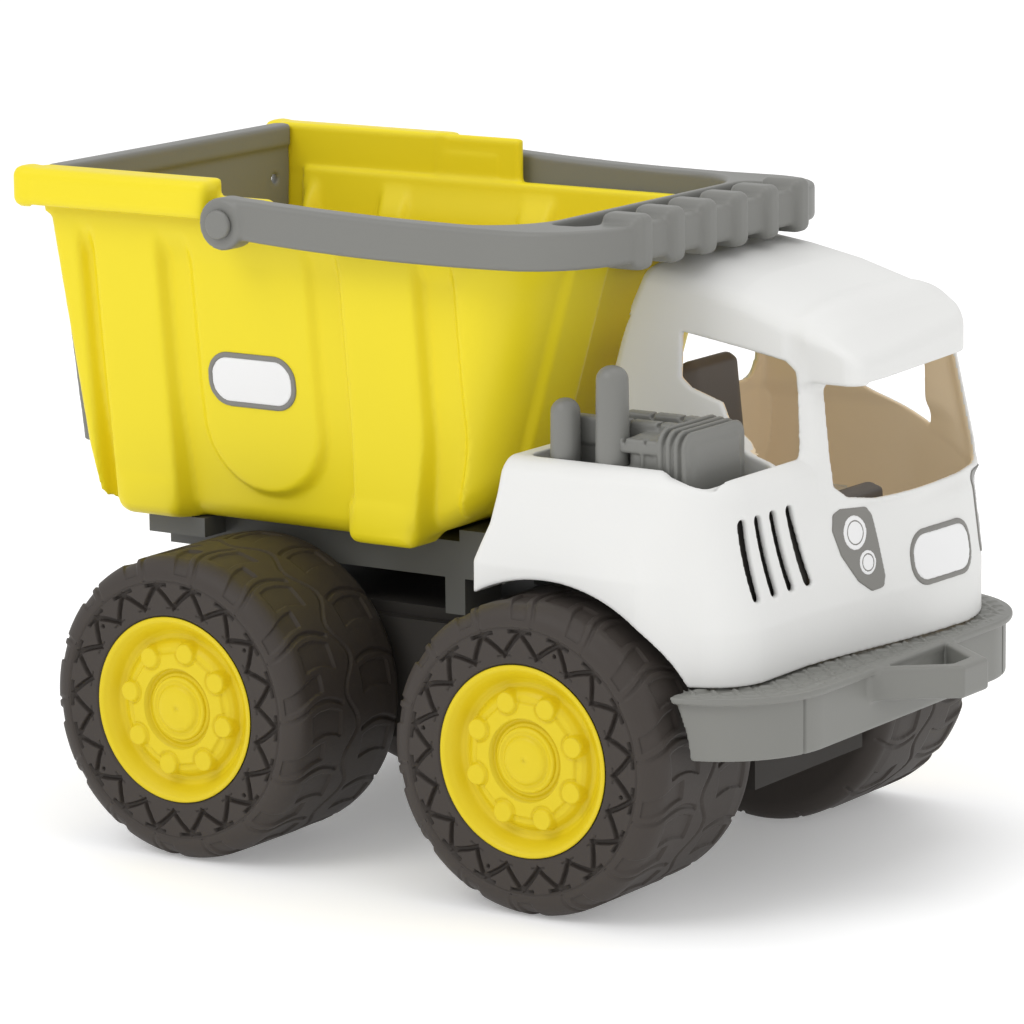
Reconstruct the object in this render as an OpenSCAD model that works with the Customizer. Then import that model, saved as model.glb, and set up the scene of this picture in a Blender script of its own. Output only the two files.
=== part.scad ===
// Toy dump truck with a tilting, lift-off bucket.
// +X is the front, +Y the left-hand side, +Z up. The origin lies on the
// ground, midway between the rear flange and the tow loop.

/* [Wheels] */
// Distance between the two axles
wheelbase = 140; // [136:1:144]
// Place of the rear axle along the truck
rear_axle_x = -82; // [-84:1:-80]
// Tyre radius over the tread
tyre_r = 52; // [51:0.5:52]
// Width of one tyre
tyre_w = 63; // [60:0.5:64]
// Width over the tyres' outer faces
track_w = 209; // [206:0.5:212]
// Radius of the hub's rim
hub_r = 31.8; // [31:0.1:32]
// Radius of the steel axles
axle_r = 2.5; // [2:0.1:3]
// Radial running clearance of wheels, hinges and handle
run_gap = 0.05; // [0.02:0.01:0.1]

/* [Bumper] */
// Foremost plane of the bumper lip
bumper_x = 144.5; // [143:0.5:146]
// Half width over the bumper lip
bumper_hw = 96; // [94:0.5:98]
// Corner radius of the bumper in plan
bumper_r = 40; // [36:1:42]
// Top of the bumper and bottom of the cab shell
bumper_top = 78.5; // [78:0.5:79]
// Height of the bumper skirt
skirt_h = 21.5; // [20:0.5:23]
// Foremost point of the tow loop
loop_x = 167; // [164:0.5:170]

/* [Cab shell] */
// Wall thickness of the moulded shells
wall = 2.4; // [2:0.1:3]
// Radius of the front wheel arches
arch_r = 57; // [56:0.5:58]
// Half width over the front fenders
fender_hw = 90; // [88:0.5:91]
// Height of the engine deck
deck_z = 147; // [145:0.5:148]
// Height of the roof's crown at the back of the cab
roof_z = 203.5; // [203:0.5:204]
// Half width of the cab at the deck
cab_hw = 54; // [53:0.5:54]
// How far the cab walls lean in for each unit of height
cab_lean = 0.15; // [0.12:0.01:0.18]

/* [Bucket] */
// Underside of the bucket floor
bucket_z = 106; // [105.5:0.5:108]
// Rim height beside the handle
rim_z = 212; // [210:0.5:213]
// Top of the rear side flanges
flange_z = 227.5; // [226:0.5:229]
// Half width of the side walls at the rim
bucket_hw = 70; // [69:0.5:71]
// Half width over the rear side flanges
flange_hw = 78; // [77:0.5:79]
// Rearmost point of the flanges
flange_x = -167; // [-168:0.5:-166]

/* [Handle] */
// Handle pivot along the truck
pivot_x = -75; // [-76:0.5:-74]
// Height of the handle pivot
pivot_z = 214; // [213:0.5:215]
// Pitch of the finger ribs
rib_pitch = 19.8; // [18:0.1:21]
// Number of finger ribs
rib_count = 6; // [4:1:6]

/* [Hidden] */
$fn = 96;

front_axle_x = rear_axle_x + wheelbase;
axle_z = tyre_r;
face_y = track_w / 2;
inner_y = face_y - tyre_w;
chassis_hw = 35;
screw_x = [46, 96];
screw_y = 26;
screw_r = 1.5;
pan_z = 78.4;

// Cradle and its hinge
hinge_x = -118;
hinge_z = 84;
hinge_r = 3;
cradle_top = bucket_z - 0.3;

// Tailgate hinge
gate_x = -156.5;
gate_z = 223;
gate_r = 4;
stub_r = 2.5;

// Rake of the cab's front and the fender line it turns about
rake = 6.5;
front_x = 126;
// The cab and nose are centred on this line, towards the driver's side
cab_mid_y = 27;
// Headlight facet of the nose, from its outer to its inner edge
facet_out = [126, -22];
facet_in = [136, 7];
// Engine bay
bay_z = 120;

// Handle section
arm_in = 72.5;
arm_out = 81;
arm_low = 207;
arm_top = 222;
bar_in = 43.5;
bar_out = 71;
lip_x = 38;
lip_z = 212.8;
channel = [41.5, 57];
boss_r = 8.8;
rivet_r = 3;

yellow = [0.94, 0.86, 0.16];
white = [0.92, 0.92, 0.91];
gray = [0.50, 0.50, 0.48];
dark = [0.24, 0.23, 0.22];
rubber = [0.22, 0.20, 0.18];
steel = [0.75, 0.76, 0.78];

// A cylinder along Y from y0 to y1
module ycyl(x, z, r, y0, y1) {
    translate([x, y1, z]) rotate([90, 0, 0]) cylinder(h = y1 - y0, r = r);
}

// A box between two corners
module box(a, b) {
    translate(a) cube(b - a);
}

// A rectangle in plan with round corners
module rrect(x0, x1, y0, y1, r) {
    translate([x0 + r, y0]) square([x1 - x0 - 2 * r, y1 - y0]);
    translate([x0, y0 + r]) square([x1 - x0, y1 - y0 - 2 * r]);
    for (x = [x0 + r, x1 - r], y = [y0 + r, y1 - r]) translate([x, y]) circle(r = r);
}

// A rectangle whose two front corners are round
module frect(x0, x1, hw, r) {
    translate([x0, -hw]) square([x1 - r - x0, 2 * hw]);
    translate([x0, -hw + r]) square([x1 - x0, 2 * hw - 2 * r]);
    for (s = [-1, 1]) translate([x1 - r, s * (hw - r)]) circle(r = r);
}

// A side outline (points in X and Z) carried across from y0 to y1
module side(points, y0, y1) {
    translate([0, y1, 0]) rotate([90, 0, 0]) linear_extrude(y1 - y0) polygon(points);
}

// A front outline (points in Y and Z) carried along from x0 to x1
module front(points, x0, x1) {
    translate([x0, 0, 0]) rotate([90, 0, 90]) linear_extrude(x1 - x0) polygon(points);
}

// ---------- wheels ----------

// Places a wheel piece, drawn with its outer face at y = 0 and running to +y
module wheel_place(x, s) {
    translate([x, s * face_y, axle_z]) mirror([0, s > 0 ? 1 : 0, 0]) children();
}

// Hollow tyre, open towards the hub
module tyre(x, s) color(rubber) wheel_place(x, s) rotate([-90, 0, 0])
    rotate_extrude() difference() {
        polygon([
            [30, 0.8], [hub_r + 0.2, 0.8], [hub_r + 1, 0], [44, 0], [46.5, 2], [49.5, 5.5], [51.2, 8.5], [tyre_r, 13],
            [tyre_r, tyre_w - 14], [51, tyre_w - 8], [48.5, tyre_w - 4], [44, tyre_w], [30, tyre_w]
        ]);
        translate([29, 5]) polygon([
            [0, 0], [14, 0], [18.5, 5.5], [20, 9], [20, tyre_w - 18], [18.5, tyre_w - 14], [14, tyre_w - 8.5],
            [0, tyre_w - 8.5]
        ]);
    }

// Dished hub with a barrel that carries the tyre
module hub(x, s) color(yellow) wheel_place(x, s) rotate([-90, 0, 0])
    rotate_extrude() polygon([
        [axle_r + run_gap, 12], [8.4, 12], [8.4, 4.4], [12, 4.4], [12, 6.5], [23, 6.5], [23, 8], [27, 8], [29.4, 0.4],
        [hub_r, 0.4], [hub_r, 0.75], [30, 0.8], [30, tyre_w], [27, tyre_w], [27, 11], [11, 11], [11, 16],
        [8, 16], [8, tyre_w - 20], [axle_r + run_gap, tyre_w - 20]
    ]);

// Button that closes the hub over the push nut
module hub_cap(x, s) color(yellow) wheel_place(x, s) rotate([-90, 0, 0])
    rotate_extrude() polygon([[0, 2.2], [9.5, 2.2], [11, 3], [11, 4.4], [8.3, 4.4], [8.3, 6.2], [0, 6.2]]);

// Steel axle, fixed in the chassis
module axle(x) color(steel) ycyl(x, axle_z, axle_r, -face_y + 8.4, face_y - 8.4);

// Push nuts that keep the wheels on, one for each axle end
module axle_push_nuts() color(steel)
    for (x = [rear_axle_x, front_axle_x], s = [-1, 1]) wheel_place(x, s)
        difference() {
            ycyl(0, 0, 7.6, 9, 11.6);
            ycyl(0, 0, axle_r, 8, 12);
        }

// ---------- chassis ----------

module chassis() color(dark) difference() {
    union() {
        // tray between the wheels, open below
        difference() {
            box([-138, -chassis_hw, 34], [104, chassis_hw, 76]);
            box([-134, -chassis_hw + 3, 30], [100, chassis_hw - 3, 72]);
        }
        // top plate and its front part under the cab
        box([-96, -30, 76], [24, 30, 80]);
        box([24, -37, 76], [120, 37, pan_z]);
        // axle bearing tubes
        for (x = [rear_axle_x, front_axle_x]) ycyl(x, axle_z, 6, -inner_y + 1, inner_y - 1);
        // ears for the cradle hinge
        for (s = [-1, 1]) box([hinge_x - 8, s > 0 ? 22 : -30, 74], [hinge_x + 8, s > 0 ? 30 : -22, hinge_z]);
        for (s = [-1, 1]) ycyl(hinge_x, hinge_z, 8, s > 0 ? 22 : -30, s > 0 ? 30 : -22);
        // screw posts
        for (x = screw_x, y = [-screw_y, screw_y]) translate([x, y, 40]) cylinder(h = 34, r = 4.5);
    }
    for (x = [rear_axle_x, front_axle_x]) ycyl(x, axle_z, axle_r, -60, 60);
    ycyl(hinge_x, hinge_z, hinge_r, -40, 40);
    for (x = screw_x, y = [-screw_y, screw_y]) translate([x, y, 30]) cylinder(h = 60, r = screw_r);
}

// Screws that hold the cab floor to the chassis
module chassis_screws() color(steel)
    for (x = screw_x, y = [-screw_y, screw_y]) translate([x, y, 0]) {
        translate([0, 0, 38]) cylinder(h = 2, r = 3.4);
        translate([0, 0, 40]) cylinder(h = 43, r = screw_r);
    }

module cradle_hinge_pin() color(steel) ycyl(hinge_x, hinge_z, hinge_r, -33, 33);

// Tilting frame that carries the bucket
module cradle() color(gray) difference() {
    union() {
        // bed plate with a turned-down edge
        difference() {
            box([-132, -38, 93], [-8, 38, cradle_top]);
            box([-129, -35, 90], [-11, 35, cradle_top - 3.5]);
        }
        // hinge lugs between the chassis ears
        for (s = [-1, 1]) {
            box([hinge_x - 6, s > 0 ? 12 : -21.6, hinge_z], [hinge_x + 6, s > 0 ? 21.6 : -12, cradle_top - 3]);
            ycyl(hinge_x, hinge_z, 7, s > 0 ? 12 : -21.6, s > 0 ? 21.6 : -12);
        }
        // rear wings and front foot
        for (s = [-1, 1]) box([-132, s > 0 ? 38 : -50, 99], [-108, s > 0 ? 50 : -38, cradle_top]);
        for (s = [-1, 1]) box([-16, s > 0 ? 16 : -38, 80.5], [-8, s > 0 ? 38 : -16, 96]);
        box([-10, -38, 93], [8, 38, cradle_top + 4]);
    }
    ycyl(hinge_x, hinge_z, hinge_r + run_gap, -40, 40);
}

// ---------- bumper ----------

// Plan of the bumper, set in by d from the lip
module bumper_plan(d) {
    frect(60, bumper_x - d, bumper_hw - d, bumper_r - d);
}

module tow_loop() {
    base_y = 28;
    tip_y = 8;
    bar = 6.5;
    root_x = bumper_x - 4;
    translate([0, 0, bumper_top - 12]) linear_extrude(11) difference() {
        polygon([[root_x, -base_y], [loop_x, -tip_y], [loop_x, tip_y], [root_x, base_y]]);
        polygon([
            [root_x + 3.5, -base_y + bar + 2], [loop_x - bar, -tip_y + 3],
            [loop_x - bar, tip_y - 3], [root_x + 3.5, base_y - bar - 2]
        ]);
    }
}

module front_bumper() color(gray) difference() {
    union() {
        // tread-plate ledge
        translate([0, 0, bumper_top - 2.6]) linear_extrude(2.6) difference() {
            bumper_plan(0);
            translate([50, -48]) square([70.2, 96]);
        }
        // skirt
        translate([0, 0, bumper_top - skirt_h]) linear_extrude(skirt_h - 2.6) difference() {
            bumper_plan(2.5);
            bumper_plan(5.5);
        }
        tow_loop();
    }
    for (s = [-1, 1]) ycyl(front_axle_x, axle_z, arch_r, s > 0 ? 30 : -120, s > 0 ? 120 : -30);
    box([40, -120, 40], [100, 120, 100]);
}

// ---------- cab ----------

// Side outline of the cab over the deck
cab_side = [
    [36, 140], [37, 157], [40, 173], [45, 198], [50, roof_z], [62, roof_z], [72, roof_z - 2], [88, roof_z - 7],
    [110, 188], [122, 183.5], [131, 178], [134, 171], [116, 168.5], [119.6, 135], [121.3, 120], [36, 120]
];
cab_inner = [
    [36 + wall, 110], [42.5, 173], [47.5, 196], [52, roof_z - wall], [61, roof_z - wall], [71, roof_z - 2 - wall],
    [87, roof_z - 7 - wall], [109, 185.4], [112, 183], [113.4, 168], [117, 135], [118.7, 120], [119.8, 110]
];

// Half width of the cab at height z
function cab_y(z) = cab_hw - cab_lean * (z - 135);

// One side of the cab's cross-section, in by d, bottom to top
function cab_wall(d) = [
    [cab_hw - d, 110], [cab_hw - d, 135], [cab_y(194) - d, 194 - d], [cab_y(194) - 8 - d, roof_z - 3 - d],
    [20, roof_z - d]
];

// Cross-section of the cab, in by d
function cab_front(d) = concat(
    [for (p = cab_wall(d)) [cab_mid_y + p.x, p.y]],
    [for (i = [4:-1:0]) [cab_mid_y - cab_wall(d)[i].x, cab_wall(d)[i].y]]
);

// Tilts the front back about its lower edge
module raked() {
    translate([front_x, 0, bumper_top]) rotate([0, -rake, 0]) translate([-front_x, 0, -bumper_top]) children();
}

// Plan of the lower shell, in by d
module hood_plan(d) {
    frect(26, front_x - d, fender_hw - 5 - d, 18 - d);
    frect(26, 108, fender_hw - d, 8);
    // nose bulge, the same on both sides of its own middle
    polygon([
        [100, facet_out.y + d], [facet_out.x - d, facet_out.y + d], [facet_in.x - d, facet_in.y],
        [facet_in.x - d, 2 * cab_mid_y - facet_in.y], [facet_out.x - d, 2 * cab_mid_y - facet_out.y - d],
        [100, 2 * cab_mid_y - facet_out.y - d]
    ]);
}

// Side outline of the lower shell, in by d
function hood_side(d) = [
    [30 + d, bumper_top], [31 + d, 118], [37 + d, 126], [39 + d, deck_z - 3 - d], [42 + d, deck_z - d],
    [98 - d, deck_z - d], [113 - d, deck_z - 3 - d], [117 - d, deck_z - 5 - d], [126 - d, 134 - d], [140, 122],
    [140, bumper_top]
];

// Front outline of the lower shell, in by d
function hood_front(d) = [
    [-fender_hw + d, 70], [-fender_hw + d, 108], [-fender_hw + 5 + d, deck_z - 4 - d],
    [-fender_hw + 8 + d, deck_z - d], [fender_hw - 8 - d, deck_z - d], [fender_hw - 5 - d, deck_z - 4 - d],
    [fender_hw - d, 108], [fender_hw - d, 70]
];

module hood_solid(d) intersection() {
    raked() translate([0, 0, bumper_top - 30]) linear_extrude(120) hood_plan(d);
    side(hood_side(d), -100, 100);
    front(hood_front(d), 0, 150);
}

module cab_solid(profile, d) intersection() {
    side(profile, -60, 100);
    front(cab_front(d), 20, 150);
}

// Opening in one cab wall, seen from the side
side_window = [
    [67, 180], [91, 176.5], [106, 174], [110, 171], [113.5, 144.5], [102, 147], [97, 147.5], [87, 154], [84, 160],
    [72, 163], [68, 166]
];

// Slanted cooling slots in the fender's front
module vents() {
    vent_pitch = 10.5;
    raked() for (i = [0:3]) translate([115, -76 + vent_pitch * i, 118]) rotate([12, 0, 0])
        rotate([90, 0, 90]) linear_extrude(20) rrect(-1.7, 1.7, -14, 14, 1.6);
}

module cab_shell() color(white) difference() {
    union() {
        hood_solid(0);
        cab_solid(cab_side, 0);
    }
    difference() {
        translate([0, 0, -1]) hood_solid(wall);
        // wheel wells
        for (s = [-1, 1])
            ycyl(front_axle_x, axle_z, arch_r + wall, s > 0 ? 38 : -95, s > 0 ? 95 : -38);
        // engine bay walls and floor
        box([42, -81.9, bay_z - 2], [113.5, -30, deck_z]);
    }
    cab_solid(cab_inner, wall);
    // wheel arches
    for (s = [-1, 1])
        ycyl(front_axle_x, axle_z, arch_r, s > 0 ? 38 + wall : -100, s > 0 ? 100 : -38 - wall);
    // engine bay in the deck
    box([44, -79.5, bay_z], [111.5, -32, 160]);
    // way in for the floor at the rear
    box([20, -37, 70], [36, 37, 116]);
    // windscreen and rear window
    front([[-14, 134], [-12, 168], [66, 168], [68, 134], [56, 130], [-2, 130]], 112, 150);
    front([[-18, 150], [-12, 190], [66, 190], [72, 150]], 20, 60);
    // side windows
    side(side_window, -60, 0);
    side(side_window, 50, 100);
    vents();
}

module seat_and_floor() color(dark) {
    // floor pan
    difference() {
        box([26, -32, pan_z], [118, 32, 84]);
        for (x = screw_x, y = [-screw_y, screw_y]) translate([x, y, 70]) cylinder(h = 13, r = screw_r);
    }
    // bulkhead
    box([26, -36.5, pan_z], [30, 36.5, 115]);
    // seat
    difference() {
        side([
            [54, 84], [52, 160], [53.5, 166], [57, 168], [60.5, 166], [66, 118], [90, 116], [93, 112], [93, 84]
        ], -8, 32);
        side([[58, 84], [58, 112], [88, 110], [88, 84]], -4, 28);
    }
    // dash
    side([[104, 84], [104, 126], [116, 129], [116, 84]], -20, 32);
}

module engine_block() color(gray) {
    // block and its narrower rear
    box([82, -76, bay_z], [98, -40, 157]);
    box([52, -66.5, bay_z], [82, -44, 154]);
    // ribbed front
    box([98, -74, bay_z], [110, -42, 156]);
    for (i = [0:3]) box([98.6 + 3.2 * i, -77, bay_z], [100.4 + 3.2 * i, -40, 160]);
    // rocker rails
    for (y = [-64, -52]) box([54, y, 153], [98, y + 5, 160]);
}

module exhaust_stack(x, r, top) color(gray) {
    tip_r = r * 0.94;
    translate([x, -73, bay_z]) cylinder(h = top - tip_r - bay_z, r1 = r, r2 = tip_r);
    translate([x, -73, top - tip_r]) sphere(r = tip_r);
}

// Places a piece drawn in y and z on the nose facet of one side
module facet_place(s) {
    translate([0, s > 0 ? 2 * cab_mid_y : 0, 0]) mirror([0, s > 0 ? 1 : 0, 0])
        raked() translate([facet_out.x, facet_out.y, 100])
            rotate([0, 0, -atan2(facet_in.x - facet_out.x, facet_in.y - facet_out.y)]) children();
}

bezel = [[0.3, 20], [0.8, 26], [4, 27.5], [14, 26], [16.5, 23], [23, 3], [22, 0.5], [15, 0.5], [9, 5]];
bezel_t = 1.2;

module headlight_bezel(s) color(gray) facet_place(s) front(bezel, 0.02, bezel_t);

// Large and small lens on one bezel
module headlight_lenses(s) color(white) facet_place(s) {
    translate([bezel_t, 9.5, 18.5]) rotate([0, 90, 0]) cylinder(h = 1.2, r = 5.6);
    translate([bezel_t, 14.5, 8.5]) rotate([0, 90, 0]) cylinder(h = 1.2, r = 4);
}

// Blank plate with round ends
module badge_plate(l, h) {
    linear_extrude(0.8) rrect(-l / 2, l / 2, -h / 2, h / 2, h / 2 - 0.1);
}

module nose_badge() color(gray)
    raked() translate([facet_in.x + 0.02, cab_mid_y, 105.5]) rotate([90, 0, 90]) badge_plate(37, 19);

// ---------- bucket ----------

// Thin slice of the bucket at height z, in by d
module slice(z, x0, x1, hw, r, d) {
    translate([0, 0, z]) linear_extrude(0.01) frect(x0 + d, x1 - d, hw - d, r - d);
}

module bucket_solid(d, up) hull() {
    $fn = 32;
    slice(bucket_z + d, -146, -22, 58, 12, d);
    slice(bucket_z + 14 + d, -149, 15, 60, 16, d);
    slice(rim_z + up, -156, 42, bucket_hw, 26, d);
}

module bucket() color(yellow) difference() {
    union() {
        difference() {
            union() {
                bucket_solid(0, 0);
                // corner posts
                for (s = [-1, 1]) {
                    box([-146, s > 0 ? 48 : -59, bucket_z - 0.2], [-116, s > 0 ? 59 : -48, 118]);
                    box([-44, s > 0 ? 48 : -59, bucket_z - 0.2], [-21, s > 0 ? 59 : -48, 118]);
                }
            }
            bucket_solid(wall, 0.02);
            // rear opening above the threshold
            front([[-58.6, 128], [-68, 240], [68, 240], [58.6, 128]], -170, -140);
        }
        // rear side flanges and the raised walls above the rim
        for (s = [-1, 1]) {
            box([flange_x, s > 0 ? 68 : -flange_hw, flange_z - 13], [-86, s > 0 ? flange_hw : -68, flange_z]);
            box([-160, s > 0 ? 67 : -70, rim_z - 8], [-66, s > 0 ? 70 : -67, flange_z]);
        }
    }
    // tailgate trunnion holes and handle rivet holes
    ycyl(gate_x, gate_z, stub_r + run_gap, -73, 73);
    ycyl(pivot_x, pivot_z, rivet_r, -90, 90);
    // handle boss clearance
    for (s = [-1, 1])
        ycyl(pivot_x, pivot_z, boss_r + 1, s > 0 ? arm_in - 1 : -90, s > 0 ? 90 : 1 - arm_in);
}

module tailgate() color(gray) {
    intersection() {
        side([[gate_x - 2.5, gate_z], [-154, 130], [-151.4, 130], [gate_x + 0.4, gate_z]], -66, 66);
        front([[-57.8, 130], [-66, gate_z + 1], [66, gate_z + 1], [57.8, 130]], -170, -140);
    }
    ycyl(gate_x, gate_z, gate_r, -66, 66);
    for (s = [-1, 1]) ycyl(gate_x, gate_z, stub_r, s > 0 ? 65 : -71, s > 0 ? 71 : -65);
}

module bucket_badge(s) color(gray)
    translate([-78, s * 66.6, 158]) rotate([90 + 5.1 * s, 0, 0]) translate([0, 0, -0.4]) badge_plate(38, 19);

// ---------- handle ----------

// Outer or inner edge of the handle in plan
module bail_plan(hw, x1, r) {
    frect(pivot_x, x1, hw, r);
}

// Slab of the handle between two heights, open inside of x1
module bail(z0, z1, x1) {
    translate([0, 0, z0]) linear_extrude(z1 - z0) difference() {
        bail_plan(arm_out, bar_out, 30);
        bail_plan(arm_in, x1, 22);
    }
}

module handle() color(gray) difference() {
    union() {
        bail(arm_low, arm_top, bar_in);
        bail(lip_z, arm_top, lip_x);
        for (s = [-1, 1]) ycyl(pivot_x, pivot_z, boss_r, s > 0 ? arm_in : -arm_out - 1, s > 0 ? arm_out + 1 : -arm_in);
        for (i = [0:rib_count - 1]) {
            y = (i - (rib_count - 1) / 2) * rib_pitch;
            box([58, y - 4.5, arm_low - 1.5], [73, y + 4.5, arm_top + 2]);
        }
    }
    // finger channel behind the grip
    translate([0, 0, arm_low + 4]) linear_extrude(20) rrect(channel[0], channel[1], -62, 62, 5);
    // round the arm ends down to the bosses
    for (s = [-1, 1]) difference() {
        box([pivot_x - 20, s > 0 ? 70 : -90, 200], [pivot_x, s > 0 ? 90 : -70, 230]);
        ycyl(pivot_x, pivot_z, boss_r, -95, 95);
    }
    ycyl(pivot_x, pivot_z, rivet_r + run_gap, -100, 100);
}

module handle_rivet(s) color(gray) {
    y0 = 67.5;
    y1 = arm_out + 1.3;
    ycyl(pivot_x, pivot_z, rivet_r, s > 0 ? y0 : -y1, s > 0 ? y1 : -y0);
    ycyl(pivot_x, pivot_z, 4.9, s > 0 ? y1 : -y1 - 1.7, s > 0 ? y1 + 1.7 : -y1);
}

chassis();
cradle();
cradle_hinge_pin();
front_bumper();
cab_shell();
seat_and_floor();
engine_block();
exhaust_stack(56, 5.2, 166);  // exhaust_stack_short
exhaust_stack(74, 5.8, 178);  // exhaust_stack_tall
headlight_bezel(-1);  // headlight_bezel_right
headlight_bezel(1);  // headlight_bezel_left
headlight_lenses(-1);  // headlight_lenses_right
headlight_lenses(1);  // headlight_lenses_left
nose_badge();
bucket();
tailgate();
bucket_badge(-1);  // bucket_badge_right
bucket_badge(1);  // bucket_badge_left
handle();
handle_rivet(-1);  // handle_rivet_right
handle_rivet(1);  // handle_rivet_left
axle(front_axle_x);  // axle_front
axle(rear_axle_x);  // axle_rear
axle_push_nuts();
chassis_screws();
tyre(front_axle_x, -1);  // tyre_front_right
tyre(front_axle_x, 1);  // tyre_front_left
tyre(rear_axle_x, -1);  // tyre_rear_right
tyre(rear_axle_x, 1);  // tyre_rear_left
hub(front_axle_x, -1);  // hub_front_right
hub(front_axle_x, 1);  // hub_front_left
hub(rear_axle_x, -1);  // hub_rear_right
hub(rear_axle_x, 1);  // hub_rear_left
hub_cap(front_axle_x, -1);  // hub_cap_front_right
hub_cap(front_axle_x, 1);  // hub_cap_front_left
hub_cap(rear_axle_x, -1);  // hub_cap_rear_right
hub_cap(rear_axle_x, 1);  // hub_cap_rear_left
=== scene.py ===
"""Toy dump truck: moulded shells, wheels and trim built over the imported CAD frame.

Lengths inside are millimetres. +X is the front, +Y the left-hand side, +Z up. Shapes are signed-distance
fields, negative inside, that net() turns into meshes. Wheels are profiles turned about their axle.
"""
import math

import bpy
import numpy as np
from mathutils import Matrix, Vector


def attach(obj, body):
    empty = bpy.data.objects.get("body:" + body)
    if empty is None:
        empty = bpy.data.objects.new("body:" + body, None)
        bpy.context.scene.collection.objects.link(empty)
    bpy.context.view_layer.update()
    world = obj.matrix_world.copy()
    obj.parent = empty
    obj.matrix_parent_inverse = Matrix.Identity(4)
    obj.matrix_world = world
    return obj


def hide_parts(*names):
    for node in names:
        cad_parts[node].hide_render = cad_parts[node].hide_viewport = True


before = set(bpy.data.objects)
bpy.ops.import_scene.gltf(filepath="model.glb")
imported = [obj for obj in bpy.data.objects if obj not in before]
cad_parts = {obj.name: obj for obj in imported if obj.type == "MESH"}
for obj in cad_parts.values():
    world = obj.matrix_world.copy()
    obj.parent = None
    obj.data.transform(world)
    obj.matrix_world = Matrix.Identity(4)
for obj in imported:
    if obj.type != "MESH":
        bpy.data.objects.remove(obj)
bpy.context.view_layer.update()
MM = 0.001
F32 = np.float32

# places taken from the CAD frame
AXLES = {"front": 58, "rear": -82}
AXLE_Z = 52
TRACK = 104.5          # from the middle to a tyre's outer face
ARCH_R = 57            # front wheel arch
PIVOT_X, PIVOT_Z = -75, 214
HINGE_X, HINGE_Z = -156.5, 223
FLOOR_Z = 107          # where the bucket's side walls start
WALL_SLOPE = 11.5 / 105
MID = 27.0             # middle of the cab, across
WALL = 2.4             # wall of the cab shell
BUCKET_WALL = 4.9


# ---------- materials ----------

def plastic(name, rgb, rough=0.42, var=0.03, bump=0.12, grain=900.0, wear=0.05, spec=0.45, glow=0.0):
    """Moulded plastic: slow colour drift, fine grain, uneven gloss and rubbed edges."""
    m = bpy.data.materials.new(name)
    m.use_nodes = True
    nt = m.node_tree
    nodes, link = nt.nodes, nt.links.new
    b = nodes["Principled BSDF"]
    b.inputs["Specular IOR Level"].default_value = spec
    co = nodes.new("ShaderNodeTexCoord")
    big = nodes.new("ShaderNodeTexNoise")
    big.inputs["Scale"].default_value = 18.0
    big.inputs["Detail"].default_value = 4.0
    link(co.outputs["Object"], big.inputs["Vector"])
    ramp = nodes.new("ShaderNodeMix")
    ramp.data_type = "RGBA"
    ramp.inputs[6].default_value = [max(0.0, c * (1 - var)) for c in rgb] + [1]
    ramp.inputs[7].default_value = [min(1.0, c * (1 + var)) for c in rgb] + [1]
    link(big.outputs["Fac"], ramp.inputs[0])
    # edges rubbed a little paler
    geo = nodes.new("ShaderNodeNewGeometry")
    edge = nodes.new("ShaderNodeMapRange")
    edge.inputs["From Min"].default_value = 0.54
    edge.inputs["From Max"].default_value = 0.70
    edge.inputs["To Max"].default_value = wear
    link(geo.outputs["Pointiness"], edge.inputs["Value"])
    worn = nodes.new("ShaderNodeMix")
    worn.data_type = "RGBA"
    worn.inputs[7].default_value = [min(1.0, c * 1.25 + 0.12) for c in rgb] + [1]
    link(edge.outputs["Result"], worn.inputs[0])
    link(ramp.outputs[2], worn.inputs[6])
    link(worn.outputs[2], b.inputs["Base Color"])
    fine = nodes.new("ShaderNodeTexNoise")
    fine.inputs["Scale"].default_value = grain
    fine.inputs["Detail"].default_value = 3.0
    link(co.outputs["Object"], fine.inputs["Vector"])
    rr = nodes.new("ShaderNodeMapRange")
    rr.inputs["To Min"].default_value = rough - 0.06
    rr.inputs["To Max"].default_value = rough + 0.08
    link(big.outputs["Fac"], rr.inputs["Value"])
    link(rr.outputs["Result"], b.inputs["Roughness"])
    bp = nodes.new("ShaderNodeBump")
    bp.inputs["Strength"].default_value = bump
    bp.inputs["Distance"].default_value = 0.0002
    link(fine.outputs["Fac"], bp.inputs["Height"])
    link(bp.outputs["Normal"], b.inputs["Normal"])
    if glow:
        # daylight that comes through the thin wall
        link(worn.outputs[2], b.inputs["Emission Color"])
        b.inputs["Emission Strength"].default_value = glow
    return m


YELLOW = plastic("yellow_plastic", (0.81, 0.665, 0.014), 0.42, spec=0.3)
# painted shade: a darker copy of the yellow plastic for the hubs, which would otherwise catch more key light
HUB_YELLOW_SHADED = plastic("hub_yellow_painted_shade", (0.69, 0.535, 0.010), 0.42, spec=0.3)
WHITE = plastic("white_plastic", (0.74, 0.74, 0.725), 0.5, spec=0.25)
# painted shade: the inside of the white shell shown tan, as white plastic in warm shade, and made to glow as
# painted light
TAN_SHADE = plastic("cab_inside_painted_shade", (0.70, 0.575, 0.40), 0.6, glow=0.18)
GRAY = plastic("gray_plastic", (0.185, 0.185, 0.172), 0.45)
# painted light: the gray plastic made a touch lighter for the bumper
PLATE_LIT = plastic("bumper_gray_painted_light", (0.195, 0.195, 0.180), 0.45)
# painted shade: the cradle's gray darkened for the shadow under the bucket
CRADLE_SHADED = plastic("cradle_gray_painted_shade", (0.11, 0.11, 0.10), 0.5)
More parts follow.
